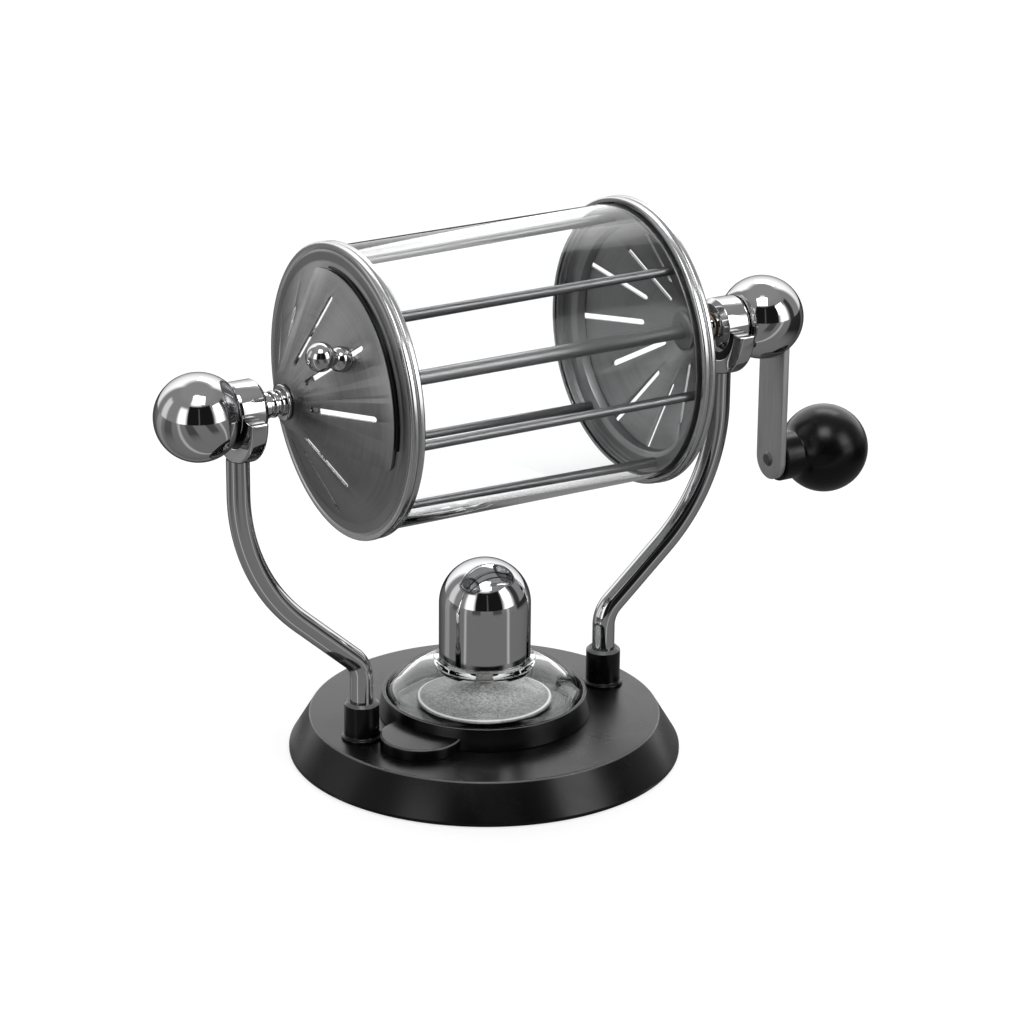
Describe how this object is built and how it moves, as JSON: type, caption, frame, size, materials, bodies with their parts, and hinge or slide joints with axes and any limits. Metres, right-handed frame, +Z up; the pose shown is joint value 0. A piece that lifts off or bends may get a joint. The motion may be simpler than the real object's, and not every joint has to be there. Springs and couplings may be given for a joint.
{
  "type": "tabletop coffee bean roaster",
  "caption": "Hand cranked glass drum coffee roaster turning in open cradles over a spirit lamp on a round black base.",
  "frame": {"origin": "centre of the foot of the base, on the table", "axes": "+Z up, +X along the drum's axis towards the crank, -Y to the front, where the lamp tray pulls out"},
  "size_m": [0.2665, 0.13, 0.1811],
  "materials": {
    "black_paint": "satin",
    "pad_rubber": "matte",
    "plain_steel": "satin",
    "polished_chrome": "polished",
    "clear_glass": "polished",
    "cotton": "matte",
    "bronze": "satin",
    "brushed_cap_steel": "brushed",
    "gasket_silicone": "matte",
    "satin_arm_steel": "satin",
    "black_knob_plastic": "gloss"
  },
  "bodies": {
    "stand": {"base_plate": "black_paint", "base_pad": "pad_rubber", "socket_screws": "plain_steel", "left_rod_socket": "black_paint", "right_rod_socket": "black_paint", "left_support_rod": "polished_chrome", "right_support_rod": "polished_chrome", "left_cradle": "polished_chrome", "right_cradle": "polished_chrome", "left_cradle_liner": "black_knob_plastic", "right_cradle_liner": "black_knob_plastic"},
    "tray": {"lamp_tray": "black_paint"},
    "lamp": {"lamp_glass": "clear_glass"},
    "burner": {"wick_holder": "plain_steel", "wick": "cotton"},
    "snuffer": {"snuffer_cap": "polished_chrome"},
    "bearings": {"left_bearing_collar": "polished_chrome", "right_bearing_collar": "polished_chrome", "left_bearing_bush": "bronze", "right_bearing_bush": "bronze"},
    "drum": {"glass_cylinder": "clear_glass", "axle": "plain_steel", "left_end_cap": "brushed_cap_steel", "right_end_cap": "brushed_cap_steel", "left_glass_gasket": "gasket_silicone", "right_glass_gasket": "gasket_silicone", "left_seat_ring": "brushed_cap_steel", "right_seat_ring": "brushed_cap_steel", "left_hub_nut": "plain_steel", "right_hub_nut": "plain_steel", "left_hub_sleeve": "polished_chrome", "right_hub_sleeve": "polished_chrome", "mixing_bar_1": "plain_steel", "mixing_bar_2": "plain_steel", "mixing_bar_3": "plain_steel", "mixing_bar_4": "plain_steel", "mixing_bar_5": "plain_steel", "mixing_bar_6": "plain_steel", "left_ball": "polished_chrome", "right_ball": "polished_chrome", "crank_arm": "satin_arm_steel", "crank_grub_screw": "plain_steel", "knob_pin": "plain_steel", "knob_clip": "plain_steel"},
    "door": {"fill_door": "brushed_cap_steel", "door_knob": "polished_chrome"},
    "knob": {"crank_knob": "black_knob_plastic", "knob_bush": "bronze"}
  },
  "joints": [
    {"name": "tray_slide", "type": "slide", "parent": "stand", "child": "tray", "axis": [0, -1, 0], "range_m": [0, 0.045]},
    {"name": "lamp_lift", "type": "slide", "parent": "tray", "child": "lamp", "axis": [0, 0, 1], "range_m": [0, 0.0062]},
    {"name": "burner_lift", "type": "slide", "parent": "lamp", "child": "burner", "axis": [0, 0, 1], "range_m": [0, 0.014]},
    {"name": "snuffer_lift", "type": "slide", "parent": "lamp", "child": "snuffer", "axis": [0, 0, 1], "range_m": [0, 0.0143]},
    {"name": "drum_lift", "type": "slide", "parent": "stand", "child": "bearings", "axis": [0, 0, 1], "range_m": [0, 0.03]},
    {"name": "drum_spin", "type": "hinge", "parent": "bearings", "child": "drum", "pos_m": [0.0019, 0, 0.1333], "axis": [1, 0, 0], "continuous": true},
    {"name": "door_turn", "type": "hinge", "parent": "drum", "child": "door", "pos_m": [-0.0722, 0, 0.1333], "axis": [1, 0, 0], "continuous": true},
    {"name": "knob_spin", "type": "hinge", "parent": "drum", "child": "knob", "pos_m": [0.125, 0, 0.082], "axis": [1, 0, 0], "continuous": true}
  ]
}
